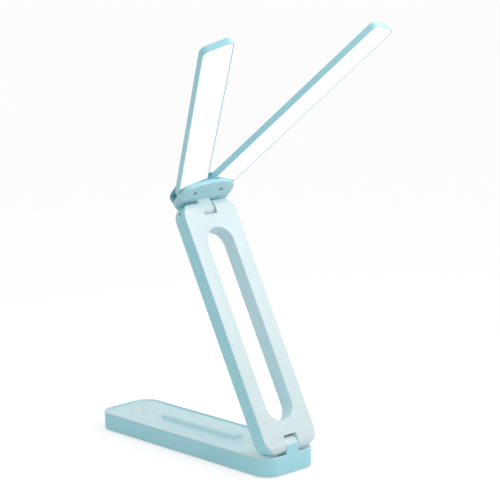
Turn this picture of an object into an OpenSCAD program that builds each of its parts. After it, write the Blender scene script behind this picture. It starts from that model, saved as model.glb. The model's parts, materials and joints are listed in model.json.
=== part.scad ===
// Folding desk lamp with two light bars. Millimetres, +Z up.
// The origin is the middle of the base's underside. The base runs along Y, its hinge end towards -Y.
// Every hinge is drawn in a frame of its own, so one angle turns all that it carries.

/* [Pose] */
// Arm, from lying flat on the base
arm_open = 63; // [1.5:0.5:115]
// Head, from lying flat on the arm's face
head_open = 108; // [0:1:110]
// Left light bar, outwards from side by side
left_swing = 23; // [0:1:90]
// Right light bar, outwards from side by side
right_swing = 20.5; // [0:0.5:90]

/* [Base] */
// Width of the base
base_w = 51; // [50:0.5:58]
// Length of the base
base_l = 198; // [196:1:215]
// Height of the base above the table
base_h = 14.8; // [13.5:0.1:18]
// Radius of the base's corners, seen from above
base_corner = 13; // [10:0.5:16]
// Rounding of the base's top and bottom edges
base_edge = 1; // [0.6:0.1:1.4]
// Width of the rim round the tray
rim_w = 1.6; // [1.2:0.1:2.4]
// Depth of the tray below the rim
tray_depth = 1; // [0.6:0.1:1.6]
// Width of the ridge along the tray
ridge_w = 10.5; // [8:0.5:14]
// Height of the ridge above the tray
ridge_h = 4.2; // [2.5:0.1:5]
// Length of the ridge
ridge_l = 122; // [90:1:130]
// Distance from the hinge end to the ridge
ridge_start = 26; // [24:1:32]
// Wall of the base shell
base_wall = 1.8; // [1.4:0.1:2.2]
// Bottom cover's thickness
cover_t = 2; // [1.6:0.1:2.6]
// Lip of the shell round the bottom cover
cover_lip = 1.2; // [0.9:0.1:1.4]
// How far the pad stands out below the shell
pad_proud = 0.8; // [0.5:0.1:1.2]
// Depth of the pad's seat in the bottom cover
pad_seat = 0.6; // [0.4:0.1:0.9]
// Width of the anti-slip pad
pad_w = 34; // [28:1:38]
// Length of the anti-slip pad
pad_l = 150; // [120:1:156]

/* [Electrics] */
// Battery size
battery = [32, 68, 7]; // [5:1:80]
// Distance from the middle of the base to the battery, towards the hinge end
battery_back = 8; // [0:1:20]
// Control board size
board = [26, 40, 1.2]; // [1:0.1:60]
// Height of the control board above the bottom cover
board_lift = 3; // [2.5:0.1:4]
// Charging socket size
socket = [9, 7.4, 3.2]; // [3:0.1:12]
// Radius of the touch switch
touch_r = 5; // [4:0.5:7]
// Distance from the far end to the touch switch
touch_from_end = 18; // [15:0.5:22]
// Thickness of the touch switch's disc
touch_t = 0.8; // [0.6:0.1:1]

/* [Arm] */
// Width of the arm and the head
arm_w = 50; // [49:0.5:56]
// Thickness of the arm
arm_t = 12.4; // [11.5:0.1:15]
// Distance between the arm's two hinge axes
hinge_span = 182; // [176:1:190]
// Radius of the arm's corners, seen from the front
arm_corner = 11.5; // [9:0.5:14]
// Rounding of the arm's long edges
arm_edge = 1; // [0.6:0.1:1.4]
// Width of the slot through the arm
slot_w = 24.5; // [20:0.5:26]
// Distance from each hinge axis to the slot's end
slot_end = 16; // [15.5:0.5:20]
// Front wall of the arm
arm_face = 2; // [1.6:0.1:2.6]
// Side walls of the arm and walls of its slot
arm_wall = 1.8; // [1.4:0.1:2.2]
// Thickness of the arm's rear cover
arm_cover_t = 1.6; // [1.2:0.1:2]

/* [Hinges] */
// Width of each hinge lug
lug_w = 11.7; // [10:0.1:14]
// Radius of each hinge lug
lug_r = 4.9; // [4.4:0.1:5.3]
// Rounding of the base lug's front corner
lug_nose_r = 2.5; // [1.5:0.1:2.8]
// Gap between a lug and the notch that it turns in
lug_gap = 0.3; // [0.2:0.05:0.4]
// Radius of both hinge pins
pin_r = 1.5; // [1.2:0.1:2]
// Radial clearance round every pin and post
running = 0.05; // [0.02:0.01:0.09]
// Thickness of the friction washers
washer_t = 0.8; // [0.6:0.1:1.2]
// Gap between parts that fold onto each other
fold_gap = 0.35; // [0.3:0.05:0.6]

/* [Head] */
// Front plate of the head bracket
front_plate_t = 3.5; // [3:0.1:4.2]
// Rear plate of the head bracket
rear_plate_t = 2.3; // [1.8:0.1:3]
// Distance from the tilt axis to the bracket's lower edge
head_low = 5.8; // [5.4:0.1:6.2]
// Distance from the tilt axis to the swivel posts
post_u = 13.7; // [13.5:0.1:16]
// Distance from the tilt axis to the top of the bracket's arched edge
head_high = 24.2; // [23:0.1:27]
// Radius of the bracket's arched edge
head_arch = 55; // [45:1:90]
// Rounding at the ends of the arched edge
head_tip_r = 5; // [3:0.5:7]
// Radius of the swivel posts
post_r = 3; // [2.6:0.1:3.4]
// Gap between the light bars and the bracket's plates
play = 0.35; // [0.3:0.05:0.5]

/* [Light bars] */
// Width of a light bar
bar_w = 24.7; // [22:0.1:26]
// Gap between the two bars when they lie side by side
bar_gap = 0.4; // [0.3:0.05:0.8]
// Thickness of a light bar
bar_t = 5.3; // [5:0.1:7]
// Distance from the swivel post to the bar's tip
bar_reach = 175; // [165:1:182]
// Rounding of a bar's tip corners, seen from the front
tip_r = 5; // [3:0.5:8]
// Rounding of a bar's back edges
bar_edge = 1.2; // [0.8:0.1:1.6]
// Rim of the bar round its diffuser
bar_rim = 0.8; // [0.6:0.1:1.2]
// Back wall of a bar
bar_back = 1.4; // [1.1:0.1:1.8]
// Distance from the swivel post to the start of the diffuser
light_start = 8; // [7:0.1:8.5]
// Thickness of the diffuser
diffuser_t = 1; // [0.8:0.1:1.2]
// Thickness of the light guide
guide_t = 0.9; // [0.7:0.1:1.1]
// Number of LEDs in each bar
leds = 20; // [12:1:24]

/* [Hidden] */

MINT = "#9fd0d6";
PALE_MINT = "#dceef0";
MILK = "#fbfcfc";
STEEL = "#b9bcc0";
RUBBER = "#6d7a7c";
CIRCUIT = "#2f6b4a";
FOIL = "#c9ccd2";
CONTACT = "#c8a96a";

SMOOTH = 48;        // facets round a corner that is hulled
FINE = 64;          // facets round a true cylinder
PASS = 0.5;         // how far a cut runs past the face it opens
SEAT = 0.1;         // gap between still parts that seat in each other
SCREW_R = 1.1;      // small case screw
SCREW_HEAD_R = 2;
SCREW_HEAD_T = 1;
SCREW_L = 7;        // length of a case screw, head included
SCREW_GRIP = 4;     // how far a bracket screw reaches into its post
BOSS_R = 2.4;       // round a case screw
BOLT_SINK = 0.8;    // how deep the bracket's screw heads sit
PIN_SINK = 0.4;     // how far a hinge pin's end sits below the arm's side
CRADLE = [1.2, 3];  // thickness and height of the ribs beside the battery
POST_R = 1.8;       // posts under the control board
PAD_CORNER = 4;
WIRE_T = 0.35;      // sheet that the socket is folded from
TONGUE = [6.4, 0.7, 5];

// Places that follow from the sizes above
knuckle_r = arm_t / 2;
pivot_y = -base_l / 2 + knuckle_r;
pivot_z = base_h + fold_gap + knuckle_r;
tray_z = base_h - tray_depth;
cover_top = pad_proud + cover_t;
ceiling_z = tray_z - base_wall;
notch_w = lug_w + 2 * lug_gap;
notch_r = lug_r + lug_gap;
cover_start = notch_r + pin_r + 4;
washer_r = lug_r - 0.8;
washer_seat = washer_t - lug_gap + SEAT;

plate_face = -(knuckle_r + fold_gap);
plate_back = plate_face - front_plate_t;
bar_face = plate_back - play;
bar_rear = bar_face - bar_t;
rear_face = bar_rear - play;
rear_back = rear_face - rear_plate_t;
post_x = (bar_w + bar_gap) / 2;
web_top = post_u - bar_w / 2 - play;
screw_xy = [base_w / 2 - 9, base_l / 2 - 16];
arm_screw_x = (slot_w / 2 + arm_w / 2) / 2;
arm_screw_y = cover_start + 5;
// the arm's round corners cut the hinge axes' ends short
pin_end = arm_w / 2 - arm_corner - PIN_SINK
    + sqrt(pow(arm_corner, 2) - pow(arm_corner - knuckle_r + pin_r, 2));
pin_blind = arm_w / 2 - arm_corner;
light_floor = bar_rear + bar_back;
light_end = bar_reach - bar_rim;
led_board_t = 0.8;
led_size = [2.8, 3.5, 0.7];
washer_sink = 0.5;
swivel_washer_r = 6;
harness = [5, 0.8];

// Frames of the moving bodies

module in_arm() {
    translate([0, pivot_y, pivot_z])
        rotate([arm_open, 0, 0])
            children();
}

module in_head() {
    in_arm()
        translate([0, hinge_span, 0])
            rotate([180 - head_open, 0, 0])
                children();
}

// side is -1 for the left bar and 1 for the right one
module in_bar(side, swing) {
    in_head()
        translate([side * post_x, post_u, 0])
            rotate([0, 0, -side * swing])
                children();
}

// Shared shapes

// A rectangle with round corners, centred
module round_rect(w, l, r) {
    square([w - 2 * r, l], center = true);
    square([w, l - 2 * r], center = true);
    for (x = [-1, 1], y = [-1, 1])
        translate([x * (w / 2 - r), y * (l / 2 - r)])
            circle(r = r, $fn = FINE);
}

// A slot with round ends along Y, from y0 to y1
module stadium(w, y0, y1) {
    translate([-w / 2, y0 + w / 2])
        square([w, y1 - y0 - w]);
    for (y = [y0 + w / 2, y1 - w / 2])
        translate([0, y])
            circle(d = w, $fn = FINE);
}

// Half the section of a round button, its lower edge rounded by low and its upper one by high
module button_section(r, t, low, high) {
    translate([0, low])
        square([r, t - low - high]);
    square([r - low, t]);
    translate([0, t - high])
        square([r - high, high]);
    intersection() {
        square([r, t]);
        union() {
            translate([r - low, low])
                circle(r = low, $fn = 24);
            translate([r - high, t - high])
                circle(r = high, $fn = 24);
        }
    }
}

module button(r, t, low, high) {
    rotate_extrude($fn = SMOOTH)
        button_section(r, t, low, high);
}

// A slab with round corners and rounded edges, from z = 0 to t
module soft_slab(w, l, t, r, low, high) {
    hull()
        for (x = [-1, 1], y = [-1, 1])
            translate([x * (w / 2 - r), y * (l / 2 - r), 0])
                button(r, t, low, high);
}

// A cylinder along X, centred on the axis
module axle(r, length) {
    axle_span(r, -length / 2, length / 2);
}

// A cylinder along X, from x0 to x1
module axle_span(r, x0, x1) {
    translate([x0, 0, 0])
        rotate([0, 90, 0])
            cylinder(r = r, h = x1 - x0, $fn = FINE);
}

// A profile drawn in (Y, Z), drawn out along X by length and centred
module across(length) {
    rotate([90, 0, 90])
        translate([0, 0, -length / 2])
            linear_extrude(length)
                children();
}

// A flat-headed screw that hangs below z = 0, head uppermost
module screw(length) {
    translate([0, 0, -SCREW_HEAD_T])
        cylinder(r = SCREW_HEAD_R, h = SCREW_HEAD_T, $fn = FINE);
    translate([0, 0, -length])
        cylinder(r = SCREW_R, h = length - SCREW_HEAD_T + SEAT, $fn = FINE);
}

module screw_hole(length) {
    translate([0, 0, -SCREW_HEAD_T - SEAT])
        cylinder(r = SCREW_HEAD_R + SEAT, h = SCREW_HEAD_T + SEAT + PASS, $fn = FINE);
    translate([0, 0, -length])
        cylinder(r = SCREW_R + running, h = length, $fn = FINE);
}

// Base

module at_cover_screws() {
    for (x = [-1, 1], y = [-1, 1])
        translate([x * screw_xy[0], y * screw_xy[1], 0])
            children();
}

// Side view of the base's hinge lug about the fold axis: a round top and a nose flush with the end wall
module fold_lug_section() {
    nose = [lug_nose_r - knuckle_r, 0];
    tilt = acos((lug_r - lug_nose_r) / norm(nose));
    touch = [cos(180 - tilt), sin(180 - tilt)];
    circle(r = lug_r, $fn = FINE);
    translate(nose)
        circle(r = lug_nose_r, $fn = FINE);
    polygon([
        nose, nose + lug_nose_r * touch, lug_r * touch, [0, 0]
    ]);
    translate([-knuckle_r, ceiling_z - pivot_z])
        square([knuckle_r + lug_r, pivot_z - ceiling_z]);
}

module ridge() {
    y0 = -base_l / 2 + ridge_start;
    hull()
        for (y = [y0 + ridge_w / 2, y0 + ridge_l - ridge_w / 2])
            translate([0, y, ceiling_z])
                button(ridge_w / 2, tray_z + ridge_h - ceiling_z, 0.1, 1.6);
}

module base_shell() {
    inner_r = base_corner - base_wall;
    color(MINT)
        difference() {
            union() {
                difference() {
                    translate([0, 0, pad_proud])
                        soft_slab(base_w, base_l, base_h - pad_proud, base_corner, base_edge, base_edge / 2);
                    translate([0, 0, tray_z])
                        linear_extrude(base_h)
                            round_rect(base_w - 2 * rim_w, base_l - 2 * rim_w, base_corner - rim_w);
                    translate([0, 0, cover_top])
                        linear_extrude(ceiling_z - cover_top)
                            round_rect(base_w - 2 * base_wall, base_l - 2 * base_wall, inner_r);
                }
                ridge();
                translate([0, pivot_y, pivot_z])
                    across(lug_w)
                        fold_lug_section();
                at_cover_screws()
                    translate([0, 0, cover_top])
                        cylinder(r = BOSS_R, h = ceiling_z - cover_top + SEAT, $fn = FINE);
            }
            // the cover's seat
            translate([0, 0, pad_proud - PASS])
                linear_extrude(cover_t + PASS)
                    round_rect(base_w - 2 * cover_lip, base_l - 2 * cover_lip, base_corner - cover_lip);
            at_cover_screws()
                translate([0, 0, cover_top - PASS])
                    cylinder(r = SCREW_R + running, h = SCREW_L, $fn = FINE);
            // room under the ridge
            translate([0, -base_l / 2 + ridge_start + ridge_l / 2, ceiling_z - PASS])
                linear_extrude(ridge_h + PASS)
                    stadium(ridge_w - 2 * base_wall, -ridge_l / 2 + base_wall, ridge_l / 2 - base_wall);
            translate([0, pivot_y, pivot_z]) {
                axle(pin_r + running, lug_w + 2 * PASS);
                for (x = [-1, 1])
                    translate([x * (lug_w / 2 - washer_seat / 2 + PASS / 2), 0, 0])
                        axle(washer_r + SEAT, washer_seat + PASS);
            }
            translate([0, base_l / 2 - touch_from_end, tray_z - touch_t])
                cylinder(r = touch_r + SEAT, h = touch_t + PASS, $fn = FINE);
            // the charging port in the far end wall
            translate([0, base_l / 2, socket_z()])
                rotate([90, 0, 0])
                    linear_extrude(2 * base_wall + 2 * PASS, center = true)
                        port_outline(SEAT);
        }
}

function board_z() = cover_top + board_lift;
function board_end() = base_l / 2 - base_wall - 1;
function socket_z() = board_z() + board[2] + socket[2] / 2;

module port_outline(gap) {
    h = socket[2] + 2 * gap;
    square([socket[0] + 2 * gap - h, h], center = true);
    for (x = [-1, 1])
        translate([x * (socket[0] + 2 * gap - h) / 2, 0])
            circle(d = h, $fn = FINE);
}

module base_cover() {
    w = base_w - 2 * cover_lip - 2 * SEAT;
    l = base_l - 2 * cover_lip - 2 * SEAT;
    color(MINT)
        difference() {
            union() {
                translate([0, 0, pad_proud])
                    linear_extrude(cover_t - SEAT)
                        round_rect(w, l, base_corner - cover_lip - SEAT);
                // cradle for the battery, and posts for the board
                for (x = [-1, 1])
                    translate([x * (battery[0] + CRADLE[0] + 2 * SEAT) / 2, -battery_back, cover_top + CRADLE[1] / 2 - SEAT])
                        cube([CRADLE[0], 0.85 * battery[1], CRADLE[1]], center = true);
                for (x = [-1, 1], y = [0.15, 0.85])
                    translate([x * 0.35 * board[0], board_end() - y * board[1], pad_proud])
                        cylinder(r = POST_R, h = board_z() - SEAT - pad_proud, $fn = FINE);
            }
            translate([0, 0, -PASS])
                linear_extrude(pad_proud + pad_seat + PASS)
                    round_rect(pad_w + 2 * SEAT, pad_l + 2 * SEAT, PAD_CORNER + SEAT);
            at_cover_screws()
                translate([0, 0, pad_proud])
                    rotate([180, 0, 0])
                        screw_hole(cover_t + PASS);
        }
}

module base_pad() {
    color(RUBBER)
        linear_extrude(pad_proud + pad_seat)
            round_rect(pad_w, pad_l, PAD_CORNER);
}

module cover_screws() {
    color(STEEL)
        at_cover_screws()
            translate([0, 0, pad_proud])
                rotate([180, 0, 0])
                    screw(SCREW_L);
}

module battery_pack() {
    color(FOIL)
        translate([0, -battery_back, cover_top + battery[2] / 2])
            rotate([90, 0, 0])
                linear_extrude(battery[1], center = true)
                    round_rect(battery[0], battery[2], 2);
}

module control_board() {
    color(CIRCUIT)
        translate([0, board_end() - board[1] / 2, board_z()]) {
            translate([0, 0, board[2] / 2])
                cube(board, center = true);
            // charge chip, driver chip and coil
            translate([-6, -4, board[2]])
                cube([5, 5, 1.2]);
            translate([4, -9, board[2]])
                cube([4, 6, 1.2]);
            translate([6, 3, board[2]])
                cylinder(r = 3, h = 2.4, $fn = FINE);
        }
}

// A folded sleeve round its tongue, closed at the back
module charge_socket() {
    color(STEEL)
        translate([0, base_l / 2 - PIN_SINK, socket_z()])
            rotate([90, 0, 0]) {
                difference() {
                    linear_extrude(socket[1])
                        port_outline(0);
                    translate([0, 0, -PASS])
                        linear_extrude(socket[1] - 2 * WIRE_T)
                            port_outline(-WIRE_T);
                }
                translate([-TONGUE[0] / 2, -TONGUE[1] / 2, socket[1] - WIRE_T - TONGUE[2]])
                    cube(TONGUE);
            }
}

module touch_disc() {
    color(PALE_MINT)
        translate([0, base_l / 2 - touch_from_end, tray_z - touch_t])
            cylinder(r = touch_r, h = touch_t, $fn = FINE);
}

module touch_spring() {
    z0 = board_z() + board[2];
    color(CONTACT)
        translate([0, base_l / 2 - touch_from_end, z0]) {
            cylinder(r = 1.2, h = ceiling_z - z0 - SEAT, $fn = FINE);
            translate([0, 0, ceiling_z - z0 - SEAT - 0.5])
                cylinder(r = touch_r - 1, h = 0.5, $fn = FINE);
        }
}

module washers_on_lug() {
    for (x = [-1, 1])
        translate([x * (lug_w / 2 + lug_gap - SEAT - washer_t / 2), 0, 0])
            difference() {
                axle(washer_r, washer_t);
                axle(pin_r + 2 * running, washer_t + 2 * PASS);
            }
}

module fold_washers() {
    color(STEEL)
        translate([0, pivot_y, pivot_z])
            washers_on_lug();
}

// Arm

module at_arm_screws() {
    for (x = [-1, 1], y = [arm_screw_y, hinge_span - arm_screw_y])
        translate([x * arm_screw_x, y, -knuckle_r])
            children();
}

module slot_plan(grow) {
    stadium(slot_w + 2 * grow, slot_end - grow, hinge_span - slot_end + grow);
}

module arm_slot() {
    translate([0, 0, -arm_t])
        linear_extrude(2 * arm_t)
            slot_plan(0);
}

// Plan of the space inside the arm, all round the slot's wall
module arm_room(inset, from_end) {
    difference() {
        translate([0, hinge_span / 2])
            square([arm_w - 2 * inset, hinge_span - 2 * from_end], center = true);
        slot_plan(arm_wall);
    }
}

module arm_body() {
    intersection() {
        translate([0, hinge_span / 2, -knuckle_r])
            soft_slab(arm_w, hinge_span + arm_t, arm_t, arm_corner, arm_edge, arm_edge);
        across(arm_w + 2 * PASS) {
            translate([0, -knuckle_r])
                square([hinge_span, arm_t]);
            for (y = [0, hinge_span])
                translate([y, 0])
                    circle(r = knuckle_r, $fn = FINE);
        }
    }
}

module arm_shell() {
    color(PALE_MINT)
        in_arm()
            difference() {
                union() {
                    difference() {
                        arm_body();
                        translate([0, 0, -knuckle_r - PASS])
                            linear_extrude(arm_t - arm_face + PASS)
                                arm_room(arm_wall, cover_start + arm_wall);
                        // step that the rear cover seats in
                        translate([0, 0, -knuckle_r - PASS])
                            linear_extrude(arm_cover_t + PASS)
                                arm_room(arm_wall / 2, cover_start);
                    }
                    at_arm_screws()
                        translate([0, 0, arm_cover_t])
                            cylinder(r = BOSS_R, h = arm_t - arm_cover_t - arm_face + SEAT, $fn = FINE);
                }
                arm_slot();
                at_arm_screws()
                    cylinder(r = SCREW_R + running, h = SCREW_L + SEAT, $fn = FINE);
                // notches for the two lugs
                notch_l = knuckle_r + notch_r + PASS;
                for (end = [-1, 1])
                    translate([0, hinge_span / 2 + end * ((hinge_span + notch_l) / 2 - notch_r), 0])
                        cube([notch_w, notch_l, arm_t + 2 * PASS], center = true);
                // the lower bore is blind on the left, the upper one goes right through
                axle_span(pin_r + running, -pin_blind - SEAT, arm_w / 2 + PASS);
                translate([0, hinge_span, 0])
                    axle(pin_r + running, arm_w + 2 * PASS);
            }
}

module arm_cover() {
    color(PALE_MINT)
        in_arm()
            difference() {
                translate([0, 0, -knuckle_r])
                    linear_extrude(arm_cover_t - SEAT)
                        difference() {
                            arm_room(arm_wall / 2 + SEAT, cover_start + SEAT);
                            slot_plan(arm_wall + SEAT);
                        }
                at_arm_screws()
                    rotate([180, 0, 0])
                        screw_hole(arm_cover_t + PASS);
            }
}

module arm_screws() {
    color(STEEL)
        in_arm()
            at_arm_screws()
                rotate([180, 0, 0])
                    screw(SCREW_L);
}

// Flat cable beside the slot, between the screw bosses
module arm_ribbon() {
    free_l = hinge_span - 2 * (arm_screw_y + BOSS_R + harness[0] / 2);
    color(CONTACT)
        in_arm()
            translate([-arm_screw_x, hinge_span / 2, -knuckle_r + arm_cover_t + harness[1] / 2])
                cube([harness[0], free_l, harness[1]], center = true);
}

module fold_pin() {
    color(STEEL)
        in_arm()
            axle_span(pin_r, -pin_blind, pin_end);
}

module tilt_pin() {
    color(STEEL)
        in_arm()
            translate([0, hinge_span, 0])
                axle(pin_r, 2 * pin_end);
}

// Head

// Plan of the bracket: the arm's round corners below, an arched edge above
module bracket_plan() {
    arch_y = head_high - head_arch;
    tip_x = arm_w / 2 - head_tip_r;
    tip_y = arch_y + sqrt(pow(head_arch - head_tip_r, 2) - pow(tip_x, 2));
    intersection() {
        translate([0, arch_y])
            circle(r = head_arch, $fn = 4 * FINE);
        union() {
            translate([-tip_x, 0])
                square([2 * tip_x, head_high]);
            translate([-arm_w / 2, 0])
                square([arm_w, tip_y]);
        }
    }
    for (x = [-1, 1])
        translate([x * tip_x, tip_y])
            circle(r = head_tip_r, $fn = FINE);
    intersection() {
        translate([0, -head_low + arm_w / 2])
            round_rect(arm_w, arm_w, arm_corner);
        translate([-arm_w / 2, -head_low])
            square([arm_w, head_low + tip_y]);
    }
}

module at_posts() {
    for (x = [-1, 1])
        translate([x * post_x, post_u, 0])
            children();
}

module bracket_front() {
    color(MINT)
        in_head()
            difference() {
                union() {
                    translate([0, 0, plate_back])
                        linear_extrude(front_plate_t)
                            bracket_plan();
                    axle(lug_r, lug_w);
                    translate([0, 0, plate_face / 2 - SEAT])
                        cube([lug_w, 2 * lug_r, -plate_face + 2 * SEAT], center = true);
                }
                axle(pin_r + running, lug_w + 2 * PASS);
                for (x = [-1, 1])
                    translate([x * (lug_w / 2 - washer_seat / 2 + PASS / 2), 0, 0])
                        axle(washer_r + SEAT, washer_seat + PASS);
                at_posts()
                    translate([0, 0, plate_face - BOLT_SINK])
                        screw_hole(front_plate_t);
                at_posts()
                    translate([0, 0, plate_face - BOLT_SINK])
                        cylinder(r = SCREW_HEAD_R + SEAT, h = 2 * BOLT_SINK, $fn = FINE);
            }
}

module bracket_rear() {
    color(MINT)
        in_head()
            difference() {
                union() {
                    translate([0, 0, rear_back])
                        linear_extrude(rear_plate_t)
                            bracket_plan();
                    // the web that closes the bracket below the bars
                    translate([0, 0, rear_face - SEAT])
                        linear_extrude(plate_back - rear_face)
                            intersection() {
                                bracket_plan();
                                translate([-arm_w / 2, -head_low])
                                    square([arm_w, head_low + web_top]);
                            }
                    at_posts()
                        translate([0, 0, rear_face - SEAT])
                            cylinder(r = post_r, h = plate_back - rear_face, $fn = FINE);
                }
                at_posts()
                    translate([0, 0, plate_back - SCREW_GRIP - SEAT])
                        cylinder(r = SCREW_R + running, h = SCREW_GRIP + SEAT + PASS, $fn = FINE);
                // seats for the friction washers
                at_posts()
                    translate([0, 0, rear_face - washer_sink])
                        difference() {
                            cylinder(r = swivel_washer_r + SEAT, h = washer_sink + PASS, $fn = FINE);
                            cylinder(r = post_r, h = washer_sink + PASS, $fn = FINE);
                        }
            }
}

module bracket_screws() {
    color(STEEL)
        in_head()
            at_posts()
                translate([0, 0, plate_face - BOLT_SINK])
                    screw(front_plate_t - BOLT_SINK + SCREW_GRIP);
}

module tilt_washers() {
    color(STEEL)
        in_head()
            washers_on_lug();
}

module swivel_washers() {
    color(STEEL)
        in_head()
            at_posts()
                translate([0, 0, rear_face - washer_sink + SEAT])
                    difference() {
                        cylinder(r = swivel_washer_r, h = washer_sink + play / 3, $fn = FINE);
                        translate([0, 0, -PASS])
                            cylinder(r = post_r + 2 * running, h = washer_sink + play + 2 * PASS, $fn = FINE);
                    }
}

// Light bars, each drawn about its swivel post with its face towards +Z

module bar_body(inset, z, t, edge) {
    corner = tip_r - inset;
    hull() {
        translate([0, 0, z])
            button(bar_w / 2 - inset, t, edge, 0.3);
        for (x = [-1, 1])
            translate([x * (bar_w / 2 - tip_r), bar_reach - tip_r, z])
                button(corner, t, edge, 0.3);
    }
}

// Plan of what lies under the diffuser
module light_plan(inset) {
    w = bar_w - 2 * bar_rim - 2 * inset;
    r = tip_r - bar_rim - inset;
    start = light_start + inset;
    end = light_end - inset;
    translate([-w / 2, start])
        square([w, end - start - r]);
    translate([r - w / 2, start])
        square([w - 2 * r, end - start]);
    for (x = [-1, 1])
        translate([x * (w / 2 - r), end - r])
            circle(r = r, $fn = FINE);
}

module bar_shell() {
    color(MINT)
        difference() {
            bar_body(0, bar_rear, bar_t, bar_edge);
            translate([0, 0, light_floor])
                linear_extrude(bar_t)
                    light_plan(0);
            translate([0, 0, bar_rear - PASS])
                cylinder(r = post_r + running, h = bar_t + 2 * PASS, $fn = FINE);
        }
}

module bar_led_board() {
    color(MILK)
        translate([0, 0, light_floor])
            linear_extrude(led_board_t)
                light_plan(bar_edge);
}

module bar_leds() {
    first = light_start + tip_r;
    step = (light_end - tip_r - first) / (leds - 1);
    color(CONTACT)
        for (i = [0 : leds - 1])
            translate([0, first + i * step, light_floor + led_board_t + led_size[2] / 2])
                cube(led_size, center = true);
}

module bar_light_guide() {
    color("#eef6f8")
        translate([0, 0, bar_face - SEAT - diffuser_t - guide_t])
            linear_extrude(guide_t)
                light_plan(2 * SEAT);
}

module bar_diffuser() {
    color(MILK)
        translate([0, 0, bar_face - SEAT - diffuser_t])
            linear_extrude(diffuser_t)
                light_plan(SEAT / 2);
}

base_shell();
base_cover();
base_pad();
cover_screws();
battery_pack();
control_board();
charge_socket();
touch_disc();
touch_spring();
fold_washers();
arm_shell();
arm_cover();
arm_screws();
arm_ribbon();
fold_pin();
tilt_pin();
bracket_front();
bracket_rear();
bracket_screws();
tilt_washers();
swivel_washers();
in_bar(-1, left_swing) bar_shell();  // left_bar_shell
in_bar(-1, left_swing) bar_led_board();  // left_led_board
in_bar(-1, left_swing) bar_leds();  // left_leds
in_bar(-1, left_swing) bar_light_guide();  // left_light_guide
in_bar(-1, left_swing) bar_diffuser();  // left_diffuser
in_bar(1, right_swing) bar_shell();  // right_bar_shell
in_bar(1, right_swing) bar_led_board();  // right_led_board
in_bar(1, right_swing) bar_leds();  // right_leds
in_bar(1, right_swing) bar_light_guide();  // right_light_guide
in_bar(1, right_swing) bar_diffuser();  // right_diffuser
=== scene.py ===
"""Looks of a folding desk lamp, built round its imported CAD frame.

The frame gives every solid, body and joint. This script dresses the solids with smoothed and edge-rounded
copies, makes what repeats with Geometry Nodes, and sets up a plain pale studio with the camera.
"""

from __future__ import annotations

import json
import logging
import math
from collections.abc import Callable, Iterator
from contextlib import contextmanager
from dataclasses import dataclass, field
from enum import Enum

import bmesh
import bpy
from mathutils import Matrix, Vector

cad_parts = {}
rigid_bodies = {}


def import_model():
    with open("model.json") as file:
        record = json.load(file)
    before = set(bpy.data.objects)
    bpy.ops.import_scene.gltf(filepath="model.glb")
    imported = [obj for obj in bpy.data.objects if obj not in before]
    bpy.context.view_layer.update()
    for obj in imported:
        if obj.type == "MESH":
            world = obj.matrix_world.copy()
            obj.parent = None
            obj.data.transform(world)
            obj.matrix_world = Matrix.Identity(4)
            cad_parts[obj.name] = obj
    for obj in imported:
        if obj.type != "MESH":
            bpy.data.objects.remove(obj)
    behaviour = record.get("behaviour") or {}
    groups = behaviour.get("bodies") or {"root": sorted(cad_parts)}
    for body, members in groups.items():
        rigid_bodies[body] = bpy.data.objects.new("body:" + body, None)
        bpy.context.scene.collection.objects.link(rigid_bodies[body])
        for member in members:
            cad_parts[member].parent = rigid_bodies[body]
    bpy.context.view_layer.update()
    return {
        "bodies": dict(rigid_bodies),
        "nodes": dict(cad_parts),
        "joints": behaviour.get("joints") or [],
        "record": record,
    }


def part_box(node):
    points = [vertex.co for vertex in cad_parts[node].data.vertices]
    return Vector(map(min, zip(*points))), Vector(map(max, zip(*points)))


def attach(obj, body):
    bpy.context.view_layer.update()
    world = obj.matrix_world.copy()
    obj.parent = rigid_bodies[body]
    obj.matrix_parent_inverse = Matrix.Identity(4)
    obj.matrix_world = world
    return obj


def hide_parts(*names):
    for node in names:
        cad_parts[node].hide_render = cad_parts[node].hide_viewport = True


Object = bpy.types.Object
Socket = bpy.types.NodeSocket
Tree = bpy.types.NodeTree
Triple = tuple[float, float, float]

log = logging.getLogger("lamp")

MM = 0.001
LEVEL_MM = 0.1               # a face this near a level belongs to it
SAME_MM = 0.05               # two lengths this near are the same one
OVERLAP_MM = 0.02            # how far a helper solid reaches past what it meets
SLIVER_MM = 0.004            # edges this short are what a Boolean leaves along a seam
MERGE = 1e-6                 # metres within which a solid's loose corners are one
FLAT_ANGLE = math.radians(0.3)
SMOOTH_ANGLE = math.radians(28)
EDGE_ANGLE = math.radians(35)
EDGE_FACETS = 2
PLASTIC_IOR = 1.5


class Body(str, Enum):
    """The bodies of the frame that pieces ride on."""

    BASE = "base"
    ARM = "arm"
    HEAD = "head"
    LEFT_BAR = "left_bar"
    RIGHT_BAR = "right_bar"


class Side(Enum):
    """Which of the two light bars is meant, as its nodes and joint are named."""

    LEFT = "left"
    RIGHT = "right"

    @property
    def body(self) -> Body:
        """The body that this side's bar is."""
        return Body.LEFT_BAR if self is Side.LEFT else Body.RIGHT_BAR


# Node and colour helpers

def linear(hex_code: str) -> tuple[float, float, float, float]:
    """Turn an sRGB hex colour to a linear one.

    Args:
        hex_code: Colour such as "#9cd0da".

    Returns:
        Linear red, green and blue, and an alpha of 1.
    """
    channels = [int(hex_code[i:i + 2], 16) / 255 for i in (1, 3, 5)]
    red, green, blue = [c / 12.92 if c <= 0.04045 else ((c + 0.055) / 1.055) ** 2.4 for c in channels]
    return red, green, blue, 1.0


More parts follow.
